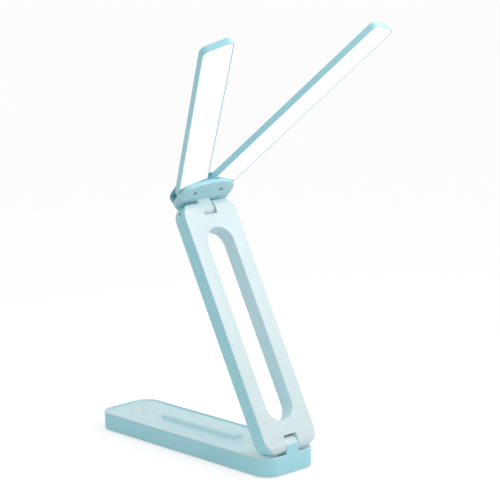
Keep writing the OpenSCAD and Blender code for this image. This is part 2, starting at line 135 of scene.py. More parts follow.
def add_node(tree: Tree, kind: str, inputs: dict, settings: dict | None = None) -> bpy.types.Node:
    """Add a node with its settings, values and links.

    Args:
        tree: Tree that gets the node.
        kind: Blender's name for the type of node.
        inputs: Socket names or numbers, each with a value or an output socket to link.
        settings: Attribute names and their values.

    Returns:
        The new node.
    """
    node = tree.nodes.new(kind)
    for name, value in (settings or {}).items():
        setattr(node, name, value)
    for key, value in inputs.items():
        if isinstance(value, Socket):
            tree.links.new(value, node.inputs[key])
        else:
            node.inputs[key].default_value = value
    return node


# Finishes

class Texture(str, Enum):
    """What patterns are made of."""

    NOISE = "ShaderNodeTexNoise"
    CELLS = "ShaderNodeTexVoronoi"


@dataclass(frozen=True)
class Pattern:
    """What its making leaves on a surface: a texture with a real size, and what that changes."""

    texture: Texture
    size_mm: float               # what one cell of it measures
    inputs: dict = field(default_factory=dict)
    settings: dict = field(default_factory=dict)
    edge: tuple[float, float] | None = None  # values between which it turns from 0 to 1
    tint: str = ""               # second colour, where it's 1
    spread: float = 0.0          # largest departure of the roughness from its mean
    depth_mm: float = 0.0        # real depth of its relief
    strength: float = 0.5        # how much of that is used

    def add(self, finish: Finish, tree: Tree, coords: Socket) -> None:
        """Add the pattern to a material.

        Args:
            finish: The finish that it belongs to.
            tree: The material's node tree.
            coords: Object coordinates, in metres.
        """
        shader = tree.nodes["Principled BSDF"].inputs
        value = add_node(tree, self.texture.value, {
            "Vector": coords, "Scale": 1 / (self.size_mm * MM), **self.inputs}, self.settings).outputs[0]
        if self.edge:
            value = add_node(tree, "ShaderNodeMapRange", {
                "Value": value, "From Min": self.edge[0], "From Max": self.edge[1]}).outputs["Result"]
        if self.tint:
            mix = add_node(tree, "ShaderNodeMix", {
                "Factor": value, "A": linear(finish.colour), "B": linear(self.tint)}, {"data_type": "RGBA"})
            tree.links.new(mix.outputs["Result"], shader["Base Color"])
        if self.spread:
            ranged = add_node(tree, "ShaderNodeMapRange", {
                "Value": value, "To Min": finish.roughness - self.spread,
                "To Max": finish.roughness + self.spread})
            tree.links.new(ranged.outputs["Result"], shader["Roughness"])
        if self.depth_mm:
            bump = add_node(tree, "ShaderNodeBump", {
                "Height": value, "Distance": self.depth_mm * MM, "Strength": self.strength})
            tree.links.new(bump.outputs["Normal"], shader["Normal"])


@dataclass(frozen=True)
class Finish:
    """A surface: its colour, its gloss, its patterns and the record's slot that it is for."""

    name: str
    slot: str
    colour: str
    roughness: float
    patterns: list[Pattern]
    inputs: dict = field(default_factory=dict)

    def material(self) -> bpy.types.Material:
        """Build the material, unless it's there already.

        Returns:
            The material.
        """
        known = bpy.data.materials.get(self.name)
        if known:
            return known
        made = bpy.data.materials.new(self.name)
        made.use_nodes = True
        made.diffuse_color = linear(self.colour)
        shader = made.node_tree.nodes["Principled BSDF"].inputs
        gloss = {"Roughness": self.roughness, "IOR": PLASTIC_IOR, **self.inputs}
        for name, value in {"Base Color": linear(self.colour), **gloss}.items():
            shader[name].default_value = value
        coords = made.node_tree.nodes.new("ShaderNodeTexCoord").outputs["Object"]
        for pattern in self.patterns:
            pattern.add(self, made.node_tree, coords)
        return made


def moulded(flow: str, grain_mm: float = 0.5) -> list[Pattern]:
    """Flow marks 42 mm wide, and a mould's grain: 0.05 mm in truth, but drawn larger, so that it shows."""
    return [Pattern(Texture.NOISE, 42.0, {"Detail": 2.0, "Roughness": 0.45}, tint=flow, spread=0.05),
            Pattern(Texture.NOISE, grain_mm, {"Detail": 2.0}, depth_mm=0.004)]


def tracks(colour: str, size_mm: float) -> list[Pattern]:
    """Copper tracks of 0.035 mm under the solder mask, which stand out a little and look lighter."""
    return [Pattern(Texture.CELLS, size_mm, {"Randomness": 0.7}, {"distance": "CHEBYCHEV"}, (0.30, 0.36),
                    colour, depth_mm=0.035, strength=0.6)]


# Marks of turning or drawing 0.35 mm wide, which break the gloss of plated metal
MARKS = [Pattern(Texture.NOISE, 0.35, {"Detail": 3.0, "Distortion": 0.4}, spread=0.08, depth_mm=0.003)]
METAL = {"Metallic": 1.0}
MASK = {"Coat Weight": 0.4}

# Injection-moulded ABS of one mint in four tones: an even satin, with a fine grain and faint flow marks. Mint
# is its own colour; the three lighter tones are painted light, given to faces by where light falls on them
# Painted light: a lifted tone for the bracket's plates, which look down
SOFT_PAINTED_LIGHT_ABS = Finish("soft_mint_abs_painted_light", "mint_plastic", "#b4e0e8", 0.4, moulded("#acdbe4"))
MINT_ABS = Finish("mint_moulded_abs", "mint_plastic", "#ace4ee", 0.42, moulded("#a4dee9"))
# Painted light: a half-lit tone for the tray, its ridge and the slot's walls
HALF_LIT_PAINTED_ABS = Finish("half_lit_mint_abs_painted_light", "mint_plastic", "#d0eef4", 0.4, moulded("#c8e9f0"))
# Painted light: a lit pale tone for the arm's front, the rim and the lugs, and the same pale on the arm's
# rear cover and the touch button
PALE_AND_PAINTED_LIGHT_ABS = Finish("pale_mint_abs_and_painted_light", "pale_plastic", "#daeaed", 0.38, moulded("#d2e5e9"))

# What sits on the boards, the boards, and the metal parts
CHIP_EPOXY = Finish("black_chip_epoxy", "circuit", "#1c1d1f", 0.5, moulded("#26272a", 0.4))
LED_CUP = Finish("white_led_cup", "phosphor", "#f2f1ec", 0.35, moulded("#ebe9e2", 0.4))
PHOSPHOR = Finish("yellow_phosphor_gel", "phosphor", "#e8cf5c", 0.2, moulded("#e3c64c", 0.4))
LED_BOARD = Finish("white_solder_mask", "white_board", "#efefec", 0.35, tracks("#dcdcd6", 4.0), MASK)
GREEN_BOARD = Finish("green_solder_mask", "circuit", "#1f5a3c", 0.3, tracks("#3d7a58", 3.0), MASK)
PLATED_STEEL = Finish("nickel_plated_steel", "steel", "#b4b6ba", 0.28, MARKS, METAL)
SPRING_WIRE = Finish("gilded_spring_wire", "contact_metal", "#c9a45c", 0.25, MARKS, METAL)

# Opal sheet over a light guide: milky white and satin, with prisms 0.9 mm apart, and lit from behind
OPAL_SHEET = Finish("opal_polycarbonate", "milk_diffuser", "#f6f9fa", 0.38, [
    Pattern(Texture.CELLS, 0.9, {"Randomness": 0.15}, {"feature": "SMOOTH_F1"}, depth_mm=0.006, strength=0.4),
], {"IOR": 1.58, "Emission Color": linear("#fdfeff"), "Emission Strength": 0.35,
    "Subsurface Weight": 0.2, "Subsurface Radius": (0.004, 0.004, 0.004), "Subsurface Scale": 0.5})

# Clear acrylic with whitish laser dots 1.6 mm apart, which scatter the LEDs' light forwards
GUIDE_SHEET = Finish("dotted_clear_acrylic", "clear_acrylic", "#eaf3f6", 0.06, [
    Pattern(Texture.CELLS, 1.6, {"Randomness": 0.0}, edge=(0.35, 0.2), tint="#ffffff", depth_mm=0.02),
], {"IOR": 1.49, "Transmission Weight": 0.75})

# Laminate pouch of a lithium cell: dull silver, with wrinkles 5 mm wide that the vacuum leaves
CELL_FOIL = Finish("laminated_pouch_foil", "foil", "#b9bcc2", 0.35, [
    Pattern(Texture.NOISE, 5.0, {"Detail": 4.0, "Distortion": 1.2}, spread=0.1, depth_mm=0.12, strength=0.7),
], METAL)

# Silicone sheet: matt with pebbles of 0.8 mm, and with dust in patches of 22 mm where it has touched tables
PAD_RUBBER = Finish("matt_silicone_rubber", "pad_rubber", "#4a5557", 0.75, [
    Pattern(Texture.NOISE, 22.0, {"Detail": 4.0}, tint="#5d686a"),
    Pattern(Texture.CELLS, 0.8, depth_mm=0.02, strength=0.6)])

# Jacket of a flat cable: pale and smooth, with a gloss that drawing leaves uneven every 6 mm
JACKET = Finish("grey_cable_jacket", "ribbon", "#d9d8d3", 0.4, [
    Pattern(Texture.NOISE, 6.0, {"Detail": 2.0}, spread=0.08, depth_mm=0.02, strength=0.4)])


# Mesh helpers

@contextmanager
def editing(mesh: bpy.types.Mesh) -> Iterator[bmesh.types.BMesh]:
    """Open a mesh for editing, and write it back at the end.

    Args:
        mesh: The mesh.

    Yields:
        What is edited.
    """
    work = bmesh.new()
    work.from_mesh(mesh)
    yield work
    work.to_mesh(mesh)
    work.free()


def add_object(name: str, data: bpy.types.ID) -> Object:
    """Add an object to the scene.

    Args:
        name: Its name.
        data: Its mesh, light or camera.

    Returns:
        The object.
    """
    made = bpy.data.objects.new(name, data)
    bpy.context.scene.collection.objects.link(made)
    return made


def add_mesh(name: str, points: list, faces: list[tuple[int, ...]]) -> Object:
    """Add a mesh of points and faces to the scene.

    Args:
        name: Name of the mesh and its object.
        points: The points.
        faces: The points that each face goes round.

    Returns:
        The object.
    """
    mesh = bpy.data.meshes.new(name)
    mesh.from_pydata([tuple(point) for point in points], [], faces)
    return add_object(name, mesh)


def solid_copy(node: str, name: str) -> Object:
    """Copy a CAD node's mesh, merge its loose corners and join its flat triangles.

    Args:
        node: The CAD node.
        name: Name of the new piece.

    Returns:
        The new object, whose place is in its mesh.
    """
    mesh = bpy.data.objects[node].data.copy()
    mesh.materials.clear()
    with editing(mesh) as work:
        bmesh.ops.remove_doubles(work, verts=work.verts, dist=MERGE)
        bmesh.ops.dissolve_limit(work, angle_limit=FLAT_ANGLE, verts=work.verts, edges=work.edges)
    return add_object(name, mesh)


def smooth(piece: Object) -> None:
    """Shade a piece smooth, with its corners kept sharp."""
    piece.data.polygons.foreach_set("use_smooth", [True] * len(piece.data.polygons))
    piece.data.set_sharp_from_angle(angle=SMOOTH_ANGLE)


def bake(piece: Object) -> None:
    """Turn a piece's modifiers into its mesh and take them off.

    Args:
        piece: The piece with live modifiers.
    """
    graph = bpy.context.evaluated_depsgraph_get()
    mesh = bpy.data.meshes.new_from_object(piece.evaluated_get(graph))
    piece.modifiers.clear()
    piece.data = mesh


def round_edges(piece: Object, width_mm: float) -> None:
    """Round the sharp edges of a piece for good.

    Args:
        piece: The piece.
        width_mm: Width of the rounding.
    """
    bevel = piece.modifiers.new("edges", "BEVEL")
    bevel.width = width_mm * MM
    bevel.segments = EDGE_FACETS
    bevel.limit_method = "ANGLE"
    bevel.angle_limit = EDGE_ANGLE
    bevel.use_clamp_overlap = True
    bevel.miter_outer = "MITER_SHARP"
    bake(piece)


def quarter_turn(steps: int) -> list[tuple[float, float]]:
    """Go through a quarter turn in even steps.

    Args:
        steps: How many.

    Returns:
        One less the sine and one less the cosine, at the start and after each step.
    """
    turns = [math.pi / 2 * step / steps for step in range(steps + 1)]
    return [(1 - math.sin(turn), 1 - math.cos(turn)) for turn in turns]


def loft(rings: list[list[Vector]]) -> Object:
    """Join rings of equal length to a closed solid.

    Args:
        rings: The rings in order, each running the same way round.

    Returns:
        The solid, with its faces outwards.
    """
    count = len(rings[0])
    pairs = [(i, (i + 1) % count) for i in range(count)]
    starts = [row * count for row in range(len(rings))]
    sides = [(row + i, row + j, row + count + j, row + count + i) for row in starts[:-1] for i, j in pairs]
    caps = [tuple(range(row, row + count)) for row in (starts[0], starts[-1])]
    solid = add_mesh("helper", [point for ring in rings for point in ring], sides + caps)
    with editing(solid.data) as work:
        bmesh.ops.recalc_face_normals(work, faces=work.faces)
    return solid


def combine(piece: Object, other: Object, operation: str) -> None:
    """Join a piece with a helper solid or cut it to one, and remove the helper.

    Args:
        piece: The piece, which changes.
        other: The helper solid.
        operation: UNION, DIFFERENCE or INTERSECT.
    """
    joining = piece.modifiers.new("combine", "BOOLEAN")
    joining.operation = operation
    joining.solver = "EXACT"
    joining.object = other
    bake(piece)
    bpy.data.objects.remove(other)
    with editing(piece.data) as work:
        bmesh.ops.remove_doubles(work, verts=work.verts, dist=SLIVER_MM * MM)
        bmesh.ops.dissolve_degenerate(work, edges=work.edges, dist=SLIVER_MM * MM)


def islands(node: str) -> list[list[Vector]]:
    """Find the separate solids of a CAD node.

    Args:
        node: The CAD node.

    Returns:
        One list of corners for each solid.
    """
    work = bmesh.new()
    work.from_mesh(bpy.data.objects[node].data)
    bmesh.ops.remove_doubles(work, verts=work.verts, dist=MERGE)
    unseen = set(work.verts)
    found = []
    while unseen:
        front = [unseen.pop()]
        corners = []
        while front:
            here = front.pop()
            corners.append(here.co.copy())
            for edge in here.link_edges:
                other = edge.other_vert(here)
                if other in unseen:
                    unseen.remove(other)
                    front.append(other)
        found.append(corners)
    work.free()
    return found


def middle(corners: list[Vector]) -> Vector:
    """Find the middle of the box round some corners.

    Args:
        corners: The corners.

    Returns:
        The middle of their box.
    """
    low = Vector([min(c[i] for c in corners) for i in range(3)])
    high = Vector([max(c[i] for c in corners) for i in range(3)])
    return (low + high) / 2


def seats(node: str, frame: Matrix, end: Callable = max) -> list[Vector]:
    """Find where the separate solids of a CAD node stand.

    Args:
        node: The CAD node.
        frame: Frame along whose Z axis they stand.
        end: max for the middle of each one's top, or min for its bottom.

    Returns:
        One place for each solid, in that frame.
    """
    back = frame.inverted()
    solids = [[back @ corner for corner in solid] for solid in islands(node)]
    return [Vector((middle(solid).x, middle(solid).y, end(corner.z for corner in solid))) for solid in solids]


# Geometry Nodes trees

class NodeMaker:
    """A Geometry Nodes tree with named inputs, which ends in Realize Instances and Set Material."""

    def __init__(self, name: str) -> None:
        """Start a tree.

        Args:
            name: Name of the tree.
        """
        self.tree = bpy.data.node_groups.new(name, "GeometryNodeTree")
        for way in ("INPUT", "OUTPUT"):
            self.tree.interface.new_socket("Geometry", in_out=way, socket_type="NodeSocketGeometry")
        self.identifiers: dict[str, str] = {}
        self.entry = self.tree.nodes.new("NodeGroupInput")
        self.finish = PLATED_STEEL

    def sizes(self, values: dict[str, float]) -> list[Socket]:
        """Add named sizes, kept in metres.

        Args:
            values: Each size's name and its value in millimetres.

        Returns:
            The sockets that give them inside the tree.
        """
        for name, value in values.items():
            socket = self.tree.interface.new_socket(name, in_out="INPUT", socket_type="NodeSocketFloat")
            socket.default_value = value * MM
            self.identifiers[name] = socket.identifier
        return [self.entry.outputs[name] for name in values]

    def add(self, kind: str, inputs: dict, settings: dict | None = None) -> Socket:
        """Add a node and return its first output."""
        return add_node(self.tree, kind, inputs, settings).outputs[0]

    def vector(self, x: object = 0.0, y: object = 0.0, z: object = 0.0) -> Socket:
        """Make a vector of three values or sockets."""
        return self.add("ShaderNodeCombineXYZ", {"X": x, "Y": y, "Z": z})

    def times(self, value: Socket, factor: float, more: float = 0.0) -> Socket:
        """Multiply a value by a factor and add something to it."""
        return self.add("ShaderNodeMath", {0: value, 1: factor, 2: more}, {"operation": "MULTIPLY_ADD"})

    def cylinder(self, corners: int, radius: Socket, depth: Socket) -> Socket:
        """Make an upright cylinder about the origin."""
        return self.add("GeometryNodeMeshCylinder", {
            "Vertices": corners, "Radius": radius, "Depth": depth})

    def block(self, x: Socket, y: Socket, z: Socket) -> Socket:
        """Make a block about the origin."""
        return self.add("GeometryNodeMeshCube", {"Size": self.vector(x, y, z)})

    def cut(self, solid: Socket, cutter: Socket) -> Socket:
        """Cut one solid from another."""
        return self.add("GeometryNodeMeshBoolean", {"Mesh 1": solid, "Mesh 2": cutter}, {
            "operation": "DIFFERENCE"})

    def placed(self, geometry: Socket, change: str, value: object) -> Socket:
        """Change a geometry's Translation, Rotation or Scale."""
        return self.add("GeometryNodeTransform", {"Geometry": geometry, change: value})

    def raised(self, geometry: Socket, height: Socket, factor: float, more: float = 0.0) -> Socket:
        """Raise a geometry by a share of a height and something more."""
        return self.placed(geometry, "Translation", self.vector(z=self.times(height, factor, more)))

    def joined(self, parts: list[Socket]) -> Socket:
        """Join several geometries.

        Args:
            parts: Sockets that give them.

        Returns:
            The socket of the joined geometry.
        """
        join = self.tree.nodes.new("GeometryNodeJoinGeometry")
        for part in parts:
            self.tree.links.new(part, join.inputs["Geometry"])
        return join.outputs["Geometry"]

    def on_points(self, shape: Socket) -> Socket:
        """Put a shape on every point of the incoming mesh."""
        return self.add("GeometryNodeInstanceOnPoints", {
            "Points": self.entry.outputs["Geometry"], "Instance": shape})

    def close(self, geometry: Socket, finish: Finish) -> None:
        """End the tree: realize what is instanced, and give it its material.

        Args:
            geometry: What the tree has made.
            finish: Finish of the whole.
        """
        self.finish = finish
        real = self.add("GeometryNodeRealizeInstances", {"Geometry": geometry})
        done = self.add("GeometryNodeSetMaterial", {"Geometry": real, "Material": finish.material()})
        add_node(self.tree, "NodeGroupOutput", {"Geometry": done})


def screw_maker() -> NodeMaker:
    """Make the tree of a case screw: a flat head with a cross recess, over a plain shank.

    Returns:
        The tree, which puts the middle of a head's top on every point.
    """
    maker = NodeMaker("cross_recess_screw")
    head_r, head_t, shank_r, shank_l, wing, blade, depth = maker.sizes({
        "Head radius": 2.0, "Head height": 1.0, "Shank radius": 1.1, "Shank length": 6.0,
        "Recess width": 2.4, "Recess blade": 0.5, "Recess depth": 0.7})
    under_head = -0.95 * MM
    head = maker.raised(maker.cylinder(40, head_r, head_t), head_t, -0.5)
    for x, y in ((wing, blade), (blade, wing)):
        head = maker.cut(head, maker.block(x, y, maker.times(depth, 2.0)))
    shank = maker.raised(maker.cylinder(24, shank_r, shank_l), shank_l, -0.5, under_head)
    maker.close(maker.on_points(maker.joined([head, shank])), PLATED_STEEL)
    return maker


@dataclass
class BodyFrame:
    """A body's own axes at rest, worked out from the joints."""

    origin: Vector
    along: Vector
    normal: Vector

    def matrix(self) -> Matrix:
        """Work out the frame with +Z along the normal and +Y along the body.

        Returns:
            The frame as a matrix.
        """
        z = self.normal.normalized()
        x = self.along.cross(z).normalized()
        rows = Matrix((x, z.cross(x), z)).transposed().to_4x4()
        return Matrix.Translation(self.origin) @ rows


@dataclass
class Wardrobe:
    """Dresses the pieces of one body: hangs each on the body and hides the nodes that it stands for."""

    body: Body

    def put(self, piece: Object, finish: Finish, *nodes: str) -> None:
        """Hand a finished piece to the frame.

        Args:
            piece: The piece.
            finish: Its finish; not used.
            nodes: CAD nodes that it stands for.
        """
        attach(piece, self.body.value)
        if nodes:
            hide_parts(*nodes)
        log.info("%s: %d faces on %s", piece.name, len(piece.data.polygons), self.body.value)

    def dress(self, node: str, name: str, finish: Finish, edge_mm: float = 0.0,
              shape: Callable[[Object], None] | None = None) -> Object:
        """Stand a smoothed copy with rounded edges in for a CAD node.

        Args:
            node: The CAD node.
            name: Name of the new piece.
            finish: Its finish.
            edge_mm: Width of its rounded edges, or 0 for none.
            shape: What gives the copy its finer forms, before its edges are rounded.

        Returns:
            The new piece.
        """
        piece = solid_copy(node, name)
        piece.data.materials.append(finish.material())
        if shape:
            shape(piece)
        if edge_mm:
            round_edges(piece, edge_mm)
        smooth(piece)
        self.put(piece, finish, node)
        return piece

    def make(self, maker: NodeMaker, name: str, points: list[Vector], place: Matrix, *nodes: str,
             sizes: dict | None = None) -> Object:
        """Run a tree on some points and keep the result as a plain mesh.

        Args:
            maker: The tree.
            name: Name of the new piece.
            points: Points in the local frame of what is made, in metres.
            place: That local frame in the frame of the whole.
            nodes: CAD nodes that it stands for.
            sizes: The tree's sizes that differ from their defaults, in metres.

        Returns:
            The new piece.
        """
        piece = add_mesh(name, points, [])
        modifier = piece.modifiers.new("make", "NODES")
        modifier.node_group = maker.tree
        for key, value in (sizes or {}).items():
            modifier[maker.identifiers[key]] = value
        bake(piece)
        piece.data.transform(place)
        self.put(piece, maker.finish, *nodes)
        return piece

    def screws(self, node: str, name: str, frame: Matrix, sizes: dict | None = None) -> None:
        """Stand cross-recess screws in for a CAD node's plain ones.

        Args:
            node: The CAD node.
            name: Name of the new piece.
            frame: Frame along whose Z axis the heads look.
            sizes: The screw's sizes that differ from their defaults, in metres.
        """
        smooth(self.make(screw_maker(), name, seats(node, frame), frame, node, sizes=sizes))

    def keep(self, node: str, finish: Finish) -> None:
        """Give a CAD node that stays a better material.

        Args:
            node: The CAD node.
            finish: Its finish.
        """
        mesh = bpy.data.objects[node].data
        mesh.materials.clear()
        mesh.materials.append(finish.material())
        log.info("%s: kept", node)


def tone(piece: Object, finish: Finish, chosen: Callable[[Vector, Vector], bool]) -> None:
    """Paint some faces of a moulding with another tone of the same plastic: painted light and shade, by where
    light falls on them.

    Args:
        piece: The piece, with its main material in place.
        finish: The other tone, which paints the light and shade.
        chosen: Takes a face's centre and normal and says whether it gets that tone.
    """
    slot = len(piece.data.materials)
    piece.data.materials.append(finish.material())
    for face in piece.data.polygons:
        if chosen(face.center, face.normal):
            face.material_index = slot


@dataclass
class Base:
    """The slab that stands on the table, with its tray, ridge, pad, cell and electronics."""

    wardrobe: Wardrobe
    edge_mm: float = 0.25
    cell_edge_mm: float = 0.4
    disc_edge_mm: float = 0.15
    rim_mm: float = 1.6
    tray_mm: float = 1.0
    rim_round_mm: float = 0.6
    lug_mm: float = 12.0
    lug_rise_mm: float = 1.0
    ridge_w_mm: float = 10.5
    ridge_h_mm: float = 4.2
    ridge_l_mm: float = 89.0
    ridge_start_mm: float = 56.5
    ridge_shoulder_mm: float = 2.4
    ridge_foot_mm: float = 1.5
    ridge_root_mm: float = 0.5
    ridge_zone: float = 0.8      # of the base's half length, which the ridge stays within
    round_steps: int = 8
    end_steps: int = 24
    up: float = 0.3              # a normal's Z above which a face looks up
    lug_up: float = 0.35         # the same on the lug, whose front is steeper
    flat: float = 0.99           # a normal's Z above which a face is level
    spring_turns: float = 5.0
    wire_mm: float = 0.5
    rib_pitch_mm: float = 3.0
    rib_mm: float = 1.2
    rib_rise_mm: float = 0.3
    board_mm: float = 1.2
    chip_start_mm: tuple[float, float] = (2.2, 3.0)
    chip_pitch_mm: tuple[float, float] = (2.0, 3.4)
    chips: int = 3
    low: Vector = field(default_factory=Vector)
    high: Vector = field(default_factory=Vector)
    floor: float = 0.0

    def build(self) -> None:
        """Build every piece that rides on the base."""
        self.housing()
        self.cover()
        self.pad()
        self.electronics()
        self.touch()
        self.wardrobe.keep("fold_washers", PLATED_STEEL)

    def housing(self) -> None:
        """Housing in mint with painted light: a half-lit tone on the tray and its ridge, and a pale painted
        highlight on the rim and the lug's top.
        """
        self.low, self.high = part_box("base_shell")
        self.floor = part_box("touch_disc")[1].z
        shell = self.wardrobe.dress("base_shell", "base_housing", MINT_ABS, self.edge_mm, self.shape_ridge)
        tone(shell, HALF_LIT_PAINTED_ABS, self.is_tray)
        tone(shell, PALE_AND_PAINTED_LIGHT_ABS, self.is_rim)

    def shape_ridge(self, piece: Object) -> None:
        """Swap the plain ridge for one with round shoulders and a hollow foot.

        Args:
            piece: The housing's copy.
        """
        with editing(piece.data) as work:
            plain = [face for face in work.faces if self.is_plain_ridge(face.calc_center_median())]
            bmesh.ops.delete(work, geom=plain, context="FACES")
            mouths = [edge for edge in work.edges if edge.is_boundary]
            for face in bmesh.ops.holes_fill(work, edges=mouths, sides=0)["faces"]:
                face.normal_update()
                looks_up = face.calc_center_median().z > self.floor - LEVEL_MM * MM
                if looks_up != (face.normal.z > 0):
                    face.normal_flip()
        combine(piece, loft(self.ridge_rings()), "UNION")

    def is_by_ridge(self, centre: Vector, share: float) -> bool:
        """Whether a place is along the ridge, within a share of its width from its middle line."""
        return abs(centre.x) < share * self.ridge_w_mm * MM and abs(centre.y) < self.ridge_zone * self.high.y

    def is_plain_ridge(self, centre: Vector) -> bool:
        """Whether a face belongs to the plain ridge or to the room under it, by its centre."""
        return self.is_by_ridge(centre, 0.51) and centre.z > self.floor + SAME_MM * MM

    def is_lug(self, centre: Vector, level: float) -> bool:
        """Whether a place is on the hinge's lug, above a level."""
        return centre.y < self.low.y + self.lug_mm * MM and centre.z > level

    def ridge_rings(self) -> list[list[Vector]]:
        """Work out the ridge's rings, from its foot inside the tray's floor to its top.

        Returns:
            One ring with round ends for each point of the ridge's section.
        """
        half, top = self.ridge_w_mm / 2, self.ridge_h_mm
        foot, shoulder = self.ridge_foot_mm, self.ridge_shoulder_mm
        turns = quarter_turn(self.round_steps)
        section = [(half + foot, -self.ridge_root_mm)]
        section += [(half + foot * out, foot * up - OVERLAP_MM) for out, up in turns]
        section += [(half - shoulder * back, top - shoulder * down) for down, back in turns]
        near = self.low.y / MM + self.ridge_start_mm + half
        far = near + self.ridge_l_mm - 2 * half
        rings = []
        for radius, height in section:
            ring = []
            for middle_y, start in ((far, 0.0), (near, math.pi)):
                for step in range(self.end_steps + 1):
                    turn = start + math.pi * step / self.end_steps
                    ring.append(Vector((radius * math.cos(turn), middle_y + radius * math.sin(turn),
                                        self.floor / MM + height)) * MM)
            rings.append(ring)
        return rings

    def is_tray(self, centre: Vector, normal: Vector) -> bool:
        """Whether a face belongs to the tray, its ridge or the lug, apart from the lug's front; these faces
        get the half-lit tone of painted light.

        Args:
            centre: The face's centre.
            normal: Its normal.

        Returns:
            True for those faces.
        """
        rim = self.rim_mm * MM
        inside = all(self.low[i] + rim < centre[i] < self.high[i] - rim for i in (0, 1))
        lug = self.is_lug(centre, self.floor + LEVEL_MM * MM)
        return inside and centre.z > self.floor - LEVEL_MM * MM and not (lug and normal.z < self.lug_up)

    def is_rim(self, centre: Vector, normal: Vector) -> bool:
        """Whether a face is the rim's top, the rounding outside it or the lug's top; these faces get the pale
        tone as a painted highlight.

        Args:
            centre: The face's centre.
            normal: Its normal.

        Returns:
            True for those faces.
        """
        rim = self.floor + self.tray_mm * MM
        if self.is_lug(centre, rim + self.lug_rise_mm * MM):
            return normal.z > self.up
        off = abs(centre.z - rim)
        rounding = normal.z > self.up and off < self.rim_round_mm * MM and not self.is_by_ridge(centre, 1.0)
        return rounding or (abs(normal.z) > self.flat and off < SAME_MM * MM)

    def cover(self) -> None:
        """Bottom cover and its screws."""
        self.wardrobe.dress("base_cover", "bottom_cover", MINT_ABS)
        turned = Matrix.Rotation(math.pi, 4, "X")
        self.wardrobe.screws("cover_screws", "cover_cross_screws", turned)

    def pad(self) -> None:
        """Anti-slip pad, thinned by a hair for the ribs that grip the table."""
        low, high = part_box("base_pad")
        rise, pitch = self.rib_rise_mm * MM, self.rib_pitch_mm * MM
        pad = solid_copy("base_pad", "grip_pad")
        for corner in pad.data.vertices:
            if corner.co.z < low.z + LEVEL_MM * MM:
                corner.co.z += rise
        pad.data.materials.append(PAD_RUBBER.material())
        smooth(pad)
        self.wardrobe.put(pad, PAD_RUBBER, "base_pad")
        maker = NodeMaker("grip_ribs")
        rib_l, rib_w, rib_t = maker.sizes({
            "Rib length": 28.0, "Rib width": self.rib_mm, "Rib height": 2 * self.rib_rise_mm})
        rib = maker.cylinder(12, maker.times(rib_w, 0.5), rib_l)
        rib = maker.placed(rib, "Rotation", (0.0, math.pi / 2, 0.0))
        flat = maker.add("ShaderNodeMath", {0: rib_t, 1: rib_w}, {"operation": "DIVIDE"})
        maker.close(maker.on_points(maker.placed(rib, "Scale", maker.vector(1.0, 1.0, flat))), PAD_RUBBER)
        count = int((high.y - low.y) / pitch) - 2
        first = (low.y + high.y) / 2 - (count - 1) * pitch / 2
        points = [Vector((0, first + i * pitch, low.z + rise)) for i in range(count)]
        smooth(self.wardrobe.make(maker, "grip_ribs", points, Matrix.Identity(4)))

    def electronics(self) -> None:
        """Cell, board and socket."""
        self.wardrobe.dress("battery_pack", "pouch_cell", CELL_FOIL, self.cell_edge_mm)
        board = self.wardrobe.dress("control_board", "driver_board", GREEN_BOARD)
        board.data.materials.append(CHIP_EPOXY.material())
        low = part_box("control_board")[0]
        top = low.z + self.board_mm * MM
        for face in board.data.polygons:
            if face.center.z > top + SAME_MM * MM:
                face.material_index = 1
        maker = NodeMaker("chip_resistors")
        length, width, height = maker.sizes({"Length": 1.6, "Width": 0.8, "Height": 0.5})
        chip = maker.raised(maker.block(width, length, height), height, 0.5)
        maker.close(maker.on_points(chip), CHIP_EPOXY)
        start, pitch = Vector(self.chip_start_mm), Vector(self.chip_pitch_mm)
        points = [Vector((low.x + (start.x + pitch.x * i) * MM, low.y + (start.y + pitch.y * j) * MM, top))
                  for i in range(self.chips) for j in range(self.chips)]
        self.wardrobe.make(maker, "chip_resistors", points, Matrix.Identity(4))
        self.wardrobe.keep("charge_socket", PLATED_STEEL)

    def touch(self) -> None:
        """Touch switch with the spring that carries it to the board."""
        self.wardrobe.dress("touch_disc", "touch_button", PALE_AND_PAINTED_LIGHT_ABS, self.disc_edge_mm)
        low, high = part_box("touch_spring")
        maker = NodeMaker("contact_spring")
        radius, height, wire = maker.sizes({
            "Coil radius": (high.x - low.x) / 2 / MM - self.wire_mm,
            "Height": (high.z - low.z) / MM - self.wire_mm, "Wire radius": self.wire_mm / 2})
        coil = maker.add("GeometryNodeCurveSpiral", {
            "Resolution": 20, "Rotations": self.spring_turns, "Start Radius": maker.times(radius, 0.6),
            "End Radius": radius, "Height": height})
        ring = maker.add("GeometryNodeCurvePrimitiveCircle", {"Resolution": 8, "Radius": wire})
        maker.close(maker.add("GeometryNodeCurveToMesh", {
            "Curve": coil, "Profile Curve": ring, "Fill Caps": True}), SPRING_WIRE)
        foot = Vector(((low.x + high.x) / 2, (low.y + high.y) / 2, low.z + self.wire_mm / 2 * MM))
        place = Matrix.Translation(foot)
        smooth(self.wardrobe.make(maker, "contact_spring", [Vector()], place, "touch_spring"))


